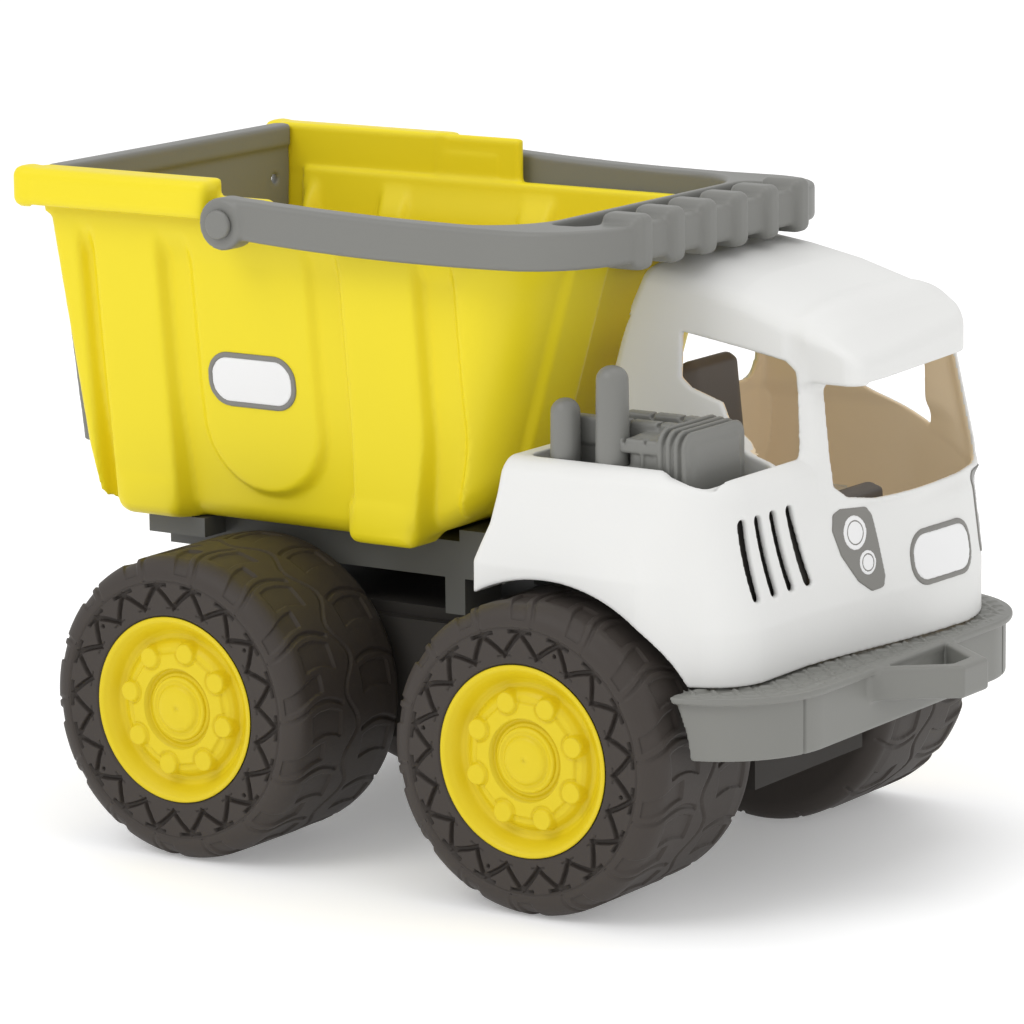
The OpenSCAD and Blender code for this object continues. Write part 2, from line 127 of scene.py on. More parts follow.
# dark plastic, darkened further as painted shade for the chassis that sits in shadow under the bumper
DARK_AND_SHADE = plastic("chassis_plastic", (0.048, 0.044, 0.040), 0.6, spec=0.15)
SEAT = plastic("seat_plastic", (0.105, 0.095, 0.088), 0.5)
RUBBER = plastic("tyre_plastic", (0.043, 0.035, 0.030), 0.55, bump=0.25, wear=0.09, spec=0.32)
TRIM = plastic("trim_gray", (0.20, 0.195, 0.18), 0.4)
LENS = plastic("lens_white", (0.80, 0.80, 0.80), 0.3)
STEEL = plastic("steel", (0.55, 0.56, 0.58), 0.3)
STEEL.node_tree.nodes["Principled BSDF"].inputs["Metallic"].default_value = 1.0


# ---------- mesh building ----------

def piece(name, verts, faces, mats, body, nodes=(), index=None):
    """Mesh object of quads that rides on a body and stands for the CAD nodes named."""
    me = bpy.data.meshes.new(name)
    v = np.asarray(verts, dtype=F32) * MM
    n = len(faces)
    me.vertices.add(len(v))
    me.vertices.foreach_set("co", v.ravel())
    me.loops.add(n * 4)
    me.loops.foreach_set("vertex_index", faces.astype(np.int32).ravel())
    me.polygons.add(n)
    me.polygons.foreach_set("loop_start", np.arange(0, n * 4, 4, dtype=np.int32))
    me.update(calc_edges=True)
    for m in mats if isinstance(mats, (list, tuple)) else [mats]:
        me.materials.append(m)
    if index is not None:
        me.polygons.foreach_set("material_index", index.astype(np.int32))
    me.polygons.foreach_set("use_smooth", np.ones(len(me.polygons), dtype=bool))
    me.validate()
    o = bpy.data.objects.new(name, me)
    bpy.context.scene.collection.objects.link(o)
    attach(o, body)
    if nodes:
        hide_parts(*nodes)
    return o


def grid(lo, hi, h):
    """Three sample axes with step h, a little wider than the box lo to hi."""
    ax = [np.arange(lo[i] - 2.5 * h, hi[i] + 3 * h, h, dtype=F32) for i in range(3)]
    return ax[0][:, None, None], ax[1][None, :, None], ax[2][None, None, :]


def net(f, g, h, rounds=3):
    """Quads around the zero surface of field f sampled on grid g."""
    f = np.broadcast_to(f, (g[0].size, g[1].size, g[2].size))
    inside = f < 0
    shape = np.array(f.shape)
    ids, pts, quads = [], [], []
    for a in range(3):
        u, v = (a + 1) % 3, (a + 2) % 3
        s0 = [slice(None)] * 3
        s1 = [slice(None)] * 3
        s0[a] = slice(0, -1)
        s1[a] = slice(1, None)
        e = np.argwhere(inside[tuple(s0)] != inside[tuple(s1)])
        e = e[(e[:, u] > 0) & (e[:, v] > 0) & (e[:, u] < shape[u] - 1) & (e[:, v] < shape[v] - 1)]
        if not len(e):
            continue
        nxt = e.copy()
        nxt[:, a] += 1
        f0 = f[e[:, 0], e[:, 1], e[:, 2]]
        f1 = f[nxt[:, 0], nxt[:, 1], nxt[:, 2]]
        p = e.astype(np.float64)
        p[:, a] += f0 / (f0 - f1)
        eu, ev = np.zeros(3, int), np.zeros(3, int)
        eu[u] = 1
        ev[v] = 1
        cells = [np.ravel_multi_index((e - du * eu - dv * ev).T, shape)
                 for du, dv in ((0, 0), (1, 0), (1, 1), (0, 1))]
        q = np.stack(cells, 1)
        flip = f0 > 0
        q[flip] = q[flip][:, ::-1]
        quads.append(q)
        for c in cells:
            ids.append(c)
            pts.append(p)
    quads = np.concatenate(quads)
    ids = np.concatenate(ids)
    pts = np.concatenate(pts)
    key, inv = np.unique(ids, return_inverse=True)
    cnt = np.bincount(inv)
    vert = np.stack([np.bincount(inv, pts[:, i]) / cnt for i in range(3)], 1)
    lo = np.array([g[i].ravel()[0] for i in range(3)])
    quads = np.searchsorted(key, quads)
    return relax(vert * h + lo, quads, rounds), quads


def relax(v, q, rounds):
    """Evens out the steps that the grid leaves along slanted edges, without shrinking the piece."""
    a = np.concatenate([q[:, 0], q[:, 1], q[:, 2], q[:, 3]])
    b = np.concatenate([q[:, 1], q[:, 2], q[:, 3], q[:, 0]])
    cnt = np.bincount(a, minlength=len(v))[:, None]
    for k in range(rounds):
        for w in (0.5, -0.52):
            mean = np.stack([np.bincount(a, v[b, i], minlength=len(v)) for i in range(3)], 1) / cnt
            v = v + w * (mean - v)
    return v


def rmax(a, b, r):
    """Both a and b, with their shared edge rounded to r."""
    u, v = np.maximum(a + r, 0), np.maximum(b + r, 0)
    return np.minimum(np.maximum(a + r, b + r), 0) + np.sqrt(u * u + v * v) - r


def rmin(a, b, r):
    """Either a or b, with the corner between them filled to r."""
    return -rmax(-a, -b, r)


def sstep(a, b, x):
    """Smooth step from 0 at a to 1 at b."""
    t = np.clip((x - a) / (b - a), 0, 1)
    return t * t * (3 - 2 * t)


def rbox(x, y, z, lo, hi, r):
    """Box from lo to hi with edges rounded to r."""
    d = [np.abs(c - (a + b) / 2) - (b - a) / 2 + r for c, a, b in zip((x, y, z), lo, hi)]
    m = np.maximum(np.maximum(d[0], d[1]), d[2])
    return np.sqrt(sum(np.maximum(c, 0) ** 2 for c in d)) + np.minimum(m, 0) - r


def poly(u, v, pts):
    """Signed distance to a polygon."""
    d, odd = None, None
    for (ax, ay), (bx, by) in zip(pts, pts[1:] + pts[:1]):
        ex, ey = bx - ax, by - ay
        wx, wy = u - ax, v - ay
        t = np.clip((wx * ex + wy * ey) / (ex * ex + ey * ey), 0, 1)
        q = (wx - ex * t) ** 2 + (wy - ey * t) ** 2
        d = q if d is None else np.minimum(d, q)
        c1, c2, c3 = v >= ay, v < by, ex * wy > ey * wx
        flip = (c1 & c2 & c3) | (~c1 & ~c2 & ~c3)
        odd = flip if odd is None else odd ^ flip
    return np.where(odd, -1, 1) * np.sqrt(d)


def slab(c, lo, hi):
    return np.abs(c - (lo + hi) / 2) - (hi - lo) / 2


def ycyl(x, z, cx, cz, r):
    return np.sqrt((x - cx) ** 2 + (z - cz) ** 2) - r


def lerp(x, xs, ys):
    return np.interp(x, xs, ys).astype(F32)


# ---------- wheels ----------

def revolve(profile, cols, shift):
    """Closed ring mesh about Y from (r, y) points; shift(r, y, a, i) moves them."""
    prof = np.array(profile)
    a = np.linspace(0, 2 * math.pi, cols, endpoint=False)
    n = len(prof)
    A, I = np.meshgrid(a, np.arange(n), indexing="ij")
    R, Y = shift(prof[I, 0], prof[I, 1], A, I)
    v = np.stack([R * np.sin(A), Y, R * np.cos(A)], -1).reshape(-1, 3)
    i = np.arange(cols)[:, None]
    j = np.arange(n)[None, :]
    i2, j2 = (i + 1) % cols, (j + 1) % n
    q = np.stack(np.broadcast_arrays(i * n + j, i * n + j2, i2 * n + j2, i2 * n + j), -1).reshape(-1, 4)
    return v, q


def smooth_line(pts, step):
    """Points along a polyline, evenly spaced."""
    p = np.array(pts, float)
    seg = np.hypot(*np.diff(p, axis=0).T)
    s = np.concatenate([[0], np.cumsum(seg)])
    t = np.linspace(0, s[-1], max(2, int(s[-1] / step)))
    return np.stack([np.interp(t, s, p[:, 0]), np.interp(t, s, p[:, 1])], 1)


def arc(cx, cy, r, a0, a1, n):
    t = np.radians(np.linspace(a0, a1, n))
    return np.stack([cx + r * np.cos(t), cy + r * np.sin(t)], 1)


def tyre_mesh():
    # outer face, rounded shoulder, tread, inner shoulder, then back through the hollow
    face = smooth_line([(31.9, 1.2), (32.6, 0.5), (44.6, 0.25)], 0.28)
    sh1 = arc(44.6, 7.6, 7.35, -90, 0, 22)[1:]
    tread = smooth_line([(51.95, 7.6), (52, 12), (52, 50), (51.6, 55)], 0.6)[1:]
    sh2 = arc(44.5, 55.9, 7.1, 0, 90, 16)
    back = np.array([(44, 63), (36, 63), (30.6, 62.8), (30.3, 62), (30.3, 40), (30.3, 6), (31.3, 3)])
    prof = np.concatenate([face, sh1, tread, sh2, back])

    def shift(r, y, a, i):
        side = (y < 3) & (r > 32.5) & (r < 44.6) & (i < len(face))
        # zigzag of grooves with a bar across each tooth
        teeth = 18
        ph = (a * teeth / (2 * math.pi)) % 1.0
        zig = 35.2 + 7.2 * np.abs(2 * ph - 1)
        # distance to the slanted line, allowing for its slope
        slope = 14.4 / (2 * math.pi * 38.5 / teeth)
        d = np.abs(r - zig) / math.sqrt(1 + slope * slope)
        groove = 2.0 * (1 - sstep(0.58, 0.98, d))
        base = (np.abs(((ph + 0.5) % 1.0) - 0.5) < 0.30) & (np.abs(r - 42.8) < 0.52)
        groove = np.maximum(groove, np.where(base, 1.7, 0))
        base2 = (np.abs(ph - 0.5) < 0.22) & (np.abs(r - 35.0) < 0.28)
        groove = np.maximum(groove, np.where(base2, 0.5, 0))
        hole = np.zeros_like(r)
        for k in (2, 6, 11, 15):
            c = 2 * math.pi * k / teeth
            hx = r * np.sin(a) - 38.6 * math.sin(c)
            hz = r * np.cos(a) - 38.6 * math.cos(c)
            hole = np.maximum(hole, 1.3 * (1 - sstep(0.5, 0.8, np.hypot(hx, hz))))
        y = y + np.where(side, np.maximum(groove, hole), 0)
        # step ring at the edge of the face
        y = y + np.where(side, 0.35 * (1 - sstep(0.2, 0.5, np.abs(r - 43.9))), 0)
        # shoulder and tread blocks outlined by shallow grooves
        out = (r > 44.7) & (y > 0.2) & (y < 61)
        n = 14
        t = a * n / (2 * math.pi)
        w = np.clip((y - 1) / 60, 0, 1)
        bend = 0.22 * np.sin(w * math.pi * 2.0)
        p1 = (t + bend) % 1.0
        p2 = (t + 0.5 - bend) % 1.0
        cell = 2 * math.pi * 50 / n
        d1 = np.minimum(p1, 1 - p1) * cell
        d2 = np.minimum(p2, 1 - p2) * cell
        left, right = (y < 26), (y > 37)
        g = 0.75 * (1 - sstep(0.45, 0.95, d1)) * left
        g = np.maximum(g, 0.75 * (1 - sstep(0.45, 0.95, d2)) * right)
        # wide sunk pads between the blocks
        pad = np.where((np.abs(p1 - 0.32) * cell < 4.2) & (y > 9) & (y < 25), 0.7, 0)
        pad = np.maximum(pad, np.where((np.abs(p2 - 0.32) * cell < 4.2) & (y > 38) & (y < 54), 0.7, 0))
        mid = 0.6 * (1 - sstep(0.5, 1.0, np.abs(y - 31.5 - 3.0 * np.sin(a * n))))
        g = np.maximum(np.maximum(g, pad), mid * (r > 51))
        notch = 0.9 * sstep(0.60, 0.63, p1) * (1 - sstep(0.86, 0.89, p1)) * (r > 47) * (y < 16)
        g = np.maximum(g, notch)
        r = r - np.where(out, g, 0)
        return r, y

    return revolve(prof, 1000, shift)


def hub_mesh():
    rs = np.concatenate([np.arange(8.4, 31.6, 0.34), [31.8]])
    # depth of the face below the tyre's outer plane, from the centre cap out to the rim
    ys = np.interp(rs, [8.4, 11.9, 12.3, 13.4, 14.1, 21.0, 22.4, 23.6, 25.0, 26.6, 28.6, 30.0, 31.0, 31.8],
                   [4.2, 4.2, 4.9, 4.9, 3.6, 3.6, 4.6, 6.3, 6.5, 5.6, 2.6, 0.95, 0.5, 0.9])
    front = np.stack([rs, ys], 1)
    # drum wall, web and the long boss that turns on the axle
    back = np.array([(30.2, 1.4), (30.2, 20), (30.2, 62.4), (27, 62.4), (27, 30), (27, 12), (24, 11.2),
                     (11, 11.2), (11, 16), (8, 16), (8, 42.8), (2.56, 42.8), (2.56, 12), (8.3, 12)])
    prof = np.concatenate([front, back])

    def shift(r, y, a, i):
        f = i < len(front)
        sector = math.pi / 4
        t = (a + sector / 2) % sector - sector / 2
        px, pz = r * np.cos(t), r * np.sin(t)
        # octagon with its corners at the bosses
        u = np.abs((a % sector) - sector / 2)
        octa = r * np.cos(u) - 18.8
        boss = np.hypot(px - 19.9, pz) - 3.7
        plateau = 1 - sstep(-0.4, 0.55, octa)
        bump = 1 - sstep(-0.6, 0.3, boss)
        body = (r > 13.8) & (r < 24.2)
        ditch = 0.5 * (1 - sstep(0.1, 0.7, np.abs(boss - 0.5))) * (r < 19.5)
        raised = y + (2.5 - y) * plateau + ditch
        raised = raised + (1.7 - raised) * bump
        return r, np.where(f & body, raised, y)

    return revolve(prof, 480, shift)


def cap_mesh():
    rs = np.array([0.05, 2, 4, 6, 7.2, 7.9, 8.3, 8.7, 9.3, 9.7, 10.2, 10.7, 11.0])
    ys = np.array([1.6, 1.6, 1.62, 1.68, 1.9, 2.6, 3.3, 3.35, 3.3, 3.0, 3.0, 3.3, 4.2])
    prof = np.concatenate([np.stack([rs, ys], 1), [(11, 5.0), (8.2, 5.0), (8.2, 6.2), (0.05, 6.2)]])
    return revolve(prof, 128, lambda r, y, a, i: (r, y))


WHEEL_PARTS = (("tyre", tyre_mesh(), RUBBER, "tyre_plastic"),
               ("hub", hub_mesh(), HUB_YELLOW_SHADED, "yellow_plastic"),
               ("hub_cap", cap_mesh(), HUB_YELLOW_SHADED, "yellow_plastic"))
TURN = {"front": 0.35, "rear": -0.2}
for end, x in AXLES.items():
    c, sn = math.cos(TURN[end]), math.sin(TURN[end])
    for s, hand in ((-1, "right"), (1, "left")):
        for kind, (v, q), mat, slot in WHEEL_PARTS:
            p = np.stack([v[:, 0] * c - v[:, 2] * sn, v[:, 1], v[:, 0] * sn + v[:, 2] * c], 1)
            if s > 0:
                p[:, 0] *= -1
                p[:, 1] *= -1
            p = p + np.array([x, s * TRACK, AXLE_Z])
            piece(f"{kind}_{end}_{hand}_moulded", p, q[:, ::-1], mat, f"wheel_{end}_{hand}",
                  [f"{kind}_{end}_{hand}"])


# ---------- cab ----------


def hood(x, y, z):
    """Nose, fenders and engine deck."""
    rake = 0.15 * np.maximum(0, z - 96)
    front = (x + rake - 125.7) * 0.995
    lean = np.clip(90.5 - 0.2 * np.maximum(0, z - 112), 84, 90.5) - 84
    side = np.abs(y) - (84 + lean * (1 - sstep(92, 112, x)))
    deck = z - (147 - 0.2 * np.maximum(0, x - 98))
    rear = lerp(z, [78, 113, 119, 125, 135, 147], [30, 30.2, 32.5, 35, 36.8, 38]) - x
    h = rmax(front, side, 20.0)
    h = rmax(h, deck, 6.0)
    h = rmax(h, rear, 2.5)
    # nose bulge: near facet, flat middle, far facet
    facet = 0.94 * (x + rake - 126) - 0.34 * (y + 22)
    flat = x + rake - 136.6
    nose = rmax(facet, flat, 14.0)
    nose = rmax(nose, 0.845 * (x + rake - 131.8) + 0.535 * (y - 67), 6.0)
    nose = rmax(nose, z - 129.3, 10.0)
    nose = np.maximum(np.maximum(nose, 96 - x), np.abs(y - 20) - 58)
    return rmin(h, nose, 7.0)


def roof_z(x, y):
    """Height of the roof: a crease along each side with a crown between them."""
    crease = lerp(x, [36, 47, 68.6, 86.6, 110.4, 122, 134], [197.5, 197.6, 194.6, 191, 184, 180, 173.5])
    crown = 8.0 * (1 - ((y - MID) / 47.0) ** 4) * sstep(134, 112, x)
    return np.minimum(crease + crown + 2.5 * sstep(112, 134, x), 203.3)


def cab(x, y, z):
    """Cab with its roof and the brim over the windscreen."""
    t = np.abs(y - MID)
    wall = (t - (54 - 0.17 * np.maximum(0, z - 135))) * 0.985
    bow = np.where(y < 22, 0.0062, 0.0018) * (y - 22) ** 2
    # the front draws back below the windscreen's sill, so that the nose takes over
    front = (x - (130.8 - bow - 0.17 * (z - 127)) + 0.7 * np.maximum(0, 127 - z)) * 0.97
    rear = lerp(z, [100, 147, 167, 186, 199, 206], [36, 38, 40.2, 44, 49, 53]) - x
    top = (z - roof_z(x, y)) * 0.93
    c = rmax(wall, front, 7.0)
    c = rmax(c, rear, 4.0)
    c = rmax(c, top, 3.4)
    c = np.maximum(c, 118 - z)
    brim = rmax(-19 - y, x - (133.8 - 0.075 * np.maximum(0, y)), 7.0)
    brim = rmax(brim, y - (72 - 0.45 * np.maximum(0, x - 112)), 9.0)
    brim = rmax(brim, top, 3.0)
    brim = rmax(brim, 167.6 - z, 1.2)
    brim = rmax(brim, 108 - x, 6.0)
    return rmin(c, brim, 4.0)


SIDE_WINDOW = [(67, 180), (91, 176.4), (106, 173.8), (109.6, 170.6), (113, 141.6), (100, 145.6), (96.5, 148),
               (88, 153), (84.3, 159.6), (71.8, 163.4), (68, 166.2)]
FAR_WINDOW = [(67, 180), (91, 176.4), (99, 174.6), (103.2, 171.0), (104.2, 158.8), (102.6, 138.4), (91.5, 144.2),
              (80.3, 150.3), (76, 155.5), (68.5, 161)]
WINDSCREEN = [(-13.6, 133.8), (-11.6, 167.8), (70, 167.8), (76.4, 130.4), (72, 128.2), (52, 128.0), (27, 127.8),
              (2, 128.2), (-9, 130)]
# the cooling slots: place across at mid height, and lean
SLOTS = ((-67.9, 0.10), (-58.4, 0.18), (-48.6, 0.22), (-38.4, 0.22))
SLOT_Z = 118


def skin(x, y, z):
    """Outer surface of the shell."""
    return rmin(hood(x, y, z), cab(x, y, z), 3.0)


def shell_field(x, y, z):
    full = skin(x, y, z)
    s = rmax(full, -(full + WALL), 0.5)
    arch = ycyl(x, z, AXLES["front"], AXLE_Z, 0)
    ay = np.abs(y)
    # wheel wells inside the shell
    well = np.maximum(np.abs(arch - 58.2) - 1.2, 38 - ay)
    well = np.minimum(well, np.maximum(arch - 59.4, np.abs(ay - 39.2) - 1.2))
    s = np.minimum(s, np.maximum(well, full))
    # engine bay tub
    tub = rbox(x, y, z, (42, -80.5, 117.6), (112.5, -29.6, 190), 6.0)
    s = np.minimum(s, np.maximum(tub, full))
    bay = rbox(x, y, z, (44.4, -78.1, 120), (110.2, -32, 190), 5.0)
    bay = np.maximum(bay, y + 28.5)
    s = np.maximum(s, -bay)
    s = rmax(s, -np.maximum(arch - ARCH_R, 40.4 - ay), 0.6)
    s = np.maximum(s, 78.7 - z)
    # openings
    win = np.maximum(poly(x, z, SIDE_WINDOW) - 0.6, y - 7)
    win = np.minimum(win, np.maximum(poly(x, z, FAR_WINDOW) - 0.6, 47 - y))
    s = rmax(s, -win, 0.9)
    screen = np.maximum(poly(y, z, WINDSCREEN) - 0.6, 108 - x)
    s = rmax(s, -screen, 0.9)
    back = rbox(x, y, z, (20, -18, 150), (60, 72, 190), 8.0)
    s = np.maximum(s, -back)
    s = np.maximum(s, -rbox(x, y, z, (20, -37, 60), (36, 37, 116), 2.0))
    # cooling slots
    for i, (yc, lean) in enumerate(SLOTS):
        line = yc + (SLOT_Z - z) * lean + 0.006 * ((z - SLOT_Z) ** 2 - 60)
        half = 1.7 if i == 0 else 1.95
        slot = rmax(np.abs(y - line) * 0.92 - half, np.abs(z - SLOT_Z) - 13.4, 1.6)
        s = rmax(s, -np.maximum(np.maximum(slot, -(full + 4.0)), 100 - x), 0.8)
    return s


H = 0.58
g = grid((30, -91, 78), (138, 91, 204), H)
v, q = net(shell_field(*g), g, H, 8)
# faces inside the cab are tan as painted warm shade on the white shell, and the slots' inner edges dark as
# painted shade
cx, cy, cz = v[q].mean(1).T
depth = skin(cx, cy, cz)
inner = (depth < -1.2) & (cy > -29.5) & (ycyl(cx, cz, AXLES["front"], AXLE_Z, ARCH_R + 3) > 0)
# painted shade: slot walls more than 2 mm below the skin take the dark plastic
slots = (depth < -2.0) & (cx > 101) & (cy < -30) & (cy > -83) & (cz > 103.5) & (cz < 132)
piece("cab_shell_moulded", v, q, [WHITE, TAN_SHADE, DARK_AND_SHADE], "chassis", ["cab_shell"],
      index=np.where(slots, 2, np.where(inner, 1, 0)))

# painted shade: a dark plate behind the cooling slots, standing in for the shade inside the hood
g = grid((98, -84, 100), (126, -29, 136), 1.0)
x, y, z = g
f = np.maximum(np.abs(hood(x, y, z) + 4.6) - 0.9, rbox(x, y, z, (99, -83, 102), (127, -31, 134), 1.0))
v, q = net(f, g, 1.0)
piece("slot_shade_backing", v, q, DARK_AND_SHADE, "chassis")


# ---------- seat, floor and dash ----------

g = grid((25, -38, 77), (119, 34, 170), 1.0)
x, y, z = g
floor_pan = rbox(x, y, z, (26, -32, 78.6), (118, 32, 84), 1.0)
bulk = rbox(x, y, z, (26, -36.5, 78.6), (30, 36.5, 115), 1.2)
seat = poly(x, z, [(54, 84), (52.5, 160), (54, 165), (57, 167), (60, 165), (65, 118), (89, 116), (92, 112),
                   (92, 84)])
seat = rmax(seat - 0.5, np.abs(y - 12) - 20, 9.0)
dash = rmax(poly(x, z, [(104, 84), (104, 125), (110, 127.2), (115, 125.5), (116, 84)]), np.abs(y - 6) - 26, 4.0)
f = np.minimum(np.minimum(floor_pan, bulk), np.minimum(seat, dash))
v, q = net(f, g, 1.0)
piece("seat_and_floor_moulded", v, q, SEAT, "chassis", ["seat_and_floor"])


# ---------- engine ----------

H = 0.6
g = grid((50, -79, 119.5), (114, -38, 161), H)
x, y, z = g
block = rbox(x, y, z, (80, -75, 120.2), (96, -41, 156.5), 4.0)
rear = rbox(x, y, z, (52, -66.5, 120.2), (84, -44, 154), 3.0)
nose = rmax(rbox(x, y, z, (88, -75.5, 100), (104.3, -40.5, 157.2), 5.0), 120.2 - z, 0.2)
f = rmin(rmin(block, rear, 1.0), nose, 1.0)
for i in range(4):
    xc = 93.6 + 3.0 * i
    hoop = rmax(rmax(np.abs(y + 58.2) - 18.4, z - (159.6 - 0.3 * i), 5.5), np.abs(x - xc) - 0.85, 0.6)
    f = rmin(f, np.maximum(hoop, 120.2 - z), 0.5)
for yc in (-65, -51):
    rail = rbox(x, y, z, (54, yc - 2.6, 150), (93, yc + 2.6, 159.6), 1.4)
    notch = np.maximum(np.abs((x - 60) % 11.0 - 5.5) - 0.6, 157.6 - z)
    f = rmin(f, np.maximum(rail, -notch), 0.6)
rail = rbox(x, y, z, (78, -76.2, 150.6), (93, -71, 155.4), 0.8)
f = rmin(f, np.maximum(rail, -np.maximum(np.abs((x - 84) % 8.0 - 4) - 0.5, 153.8 - z)), 0.5)
f = rmin(f, rbox(x, y, z, (76, -75.8, 136), (88, -66, 146), 1.0), 0.6)
f = rmin(f, rbox(x, y, z, (76.5, -76.4, 139.5), (88.5, -66, 141.2), 0.5), 0.3)
f = rmin(f, rbox(x, y, z, (86, -75.9, 122), (87.4, -66, 152), 0.5), 0.3)
v, q = net(f, g, H)
piece("engine_block_moulded", v, q, GRAY, "chassis", ["engine_block"])

for name, x0, r, top in (("short", 56, 5.2, 166), ("tall", 74, 5.8, 178)):
    g = grid((x0 - 7, -81, 119.5), (x0 + 7, -66, top + 1), 0.5)
    x, y, z = g
    rad = np.sqrt((x - x0) ** 2 + (y + 73.2) ** 2)
    f = rmax(rad - (r - 0.012 * (z - 130)), z - top, 4.6)
    f = np.maximum(f, 120.2 - z)
    v, q = net(f, g, 0.5)
    piece(f"exhaust_stack_{name}_moulded", v, q, GRAY, "chassis", [f"exhaust_stack_{name}"])


# ---------- headlights and badges ----------

def round_plate(length, height, r):
    """Signed distance of a plate with round corners, as a function of its own coordinates."""
    def shape(u, w):
        a, b = np.abs(u) - length / 2 + r, np.abs(w) - height / 2 + r
        return np.hypot(np.maximum(a, 0), np.maximum(b, 0)) + np.minimum(np.maximum(a, b), 0) - r
    return shape

def plate(name, shape, place, reach, surface, up_by, mat, body, nodes=(), h=0.4):
    """Thin plate that lies on a surface: shape is its outline along the two axes of place."""
    along, up, at = (np.array(c, float) for c in place)
    r = reach + 3
    out = np.cross(along, up)
    lo = at - np.abs(along) * r - np.abs(up) * r - np.abs(out) * 5
    hi = at + np.abs(along) * r + np.abs(up) * r + np.abs(out) * 5
    g = grid(lo, hi, h)
    x, y, z = (c.astype(F32) for c in g)
    d = (x - at[0], y - at[1], z - at[2])
    u = sum(a * c for a, c in zip(along, d))
    w = sum(a * c for a, c in zip(up, d))
    deep = sum(a * c for a, c in zip(out, d))
    sk = surface(x, y, z)
    f = rmax(shape(u, w), np.abs(sk - up_by + 0.8) - 0.8, 0.25)
    f = np.maximum(f, np.abs(deep) - 6.5)
    v, q = net(f, g, h, 2)
    return piece(name, v, q, mat, body, nodes)


# the bezel's outline and its lamps, from its lower outer corner
BEZEL = [(1.8, 25.6), (4.5, 26.6), (15.4, 26.0), (17.2, 24.2), (19.0, 15.5), (20.8, 4.6), (20.2, 2.6),
         (16.2, 2.2), (10.8, 5.6), (3.8, 14.4), (0.8, 22.2)]
LAMPS = ((9.6, 20.2, 5.7), (14.6, 9.8, 4.1))
BEZEL_MID = (11, 15)
# side, direction along the facet, lower outer corner, how far lenses and rings stand proud
HEADLIGHTS = (("right", -1.0, (0.34, 0.94, 0), (126.7, -19.6, 98.0), 1.0, 1.2),
              ("left", 1.0, (0.535, -0.845, 0), (120.2, 85.4, 98.0), 0.75, 0.9))


def bezel_outline(u, w):
    return poly(u + BEZEL_MID[0], w + BEZEL_MID[1], BEZEL) - 2.0


def disc(cu, cw, r):
    return lambda u, w: np.hypot(u - cu, w - cw) - r


def thin_ring(cu, cw, r):
    return lambda u, w: np.abs(np.hypot(u - cu, w - cw) - r) - 0.3


tilt = math.atan(0.15)
for hand, side, along, corner, lens_up, ring_up in HEADLIGHTS:
    up = (-math.sin(tilt) * abs(along[1]), side * math.sin(tilt) * -along[0], math.cos(tilt))
    middle = np.array(corner) + np.array(along) * BEZEL_MID[0] + np.array(up) * BEZEL_MID[1]
    place = (along, up, middle)
    plate(f"headlight_bezel_{hand}_moulded", bezel_outline, place, 17, skin, 0.65, TRIM,
          "chassis", [f"headlight_bezel_{hand}"], h=0.3)
    for k, (cu, cw, cr) in enumerate(LAMPS):
        cu, cw = cu - BEZEL_MID[0], cw - BEZEL_MID[1]
        plate(f"headlight_lens_{hand}_{k}", disc(cu, cw, cr), place, 15, skin, lens_up, LENS,
              "chassis", [f"headlight_lenses_{hand}"])
        plate(f"headlight_ring_{hand}_{k}", thin_ring(cu, cw, cr * 0.68), place, 15, skin, ring_up, TRIM,
              "chassis", h=0.25)

badge = round_plate(36.4, 19, 8.6)
BADGES = [("nose_badge", ((0, 1, 0), (-math.sin(tilt), 0, math.cos(tilt)), (135, 35.0, 104.8)), "chassis")]
for s, hand in ((-1, "right"), (1, "left")):
    lean = math.atan(WALL_SLOPE)
    BADGES.append((f"bucket_badge_{hand}", ((1, 0, 0), (0, s * math.sin(lean), math.cos(lean)),
                                            (-77.4, s * 62.4, 158.0)), "bucket"))


def badge_rim(u, w):
    return np.maximum(badge(u, w), -(badge(u, w) + 1.9))


def make_badges():
    for name, place, body in BADGES:
        surface = skin if body == "chassis" else bucket_field
        plate(f"{name}_ring", badge_rim, place, 19, surface, 0.6, TRIM, body, [name])
        plate(f"{name}_face", lambda u, w: badge(u, w) + 1.7, place, 19, surface, 0.5, LENS, body)


# ---------- bucket ----------

def band(x, a, b, soft=1.9):
    """1 between a and b, with soft ends."""
    return sstep(a - soft, a + soft, x) * (1 - sstep(b - soft, b + soft, x))


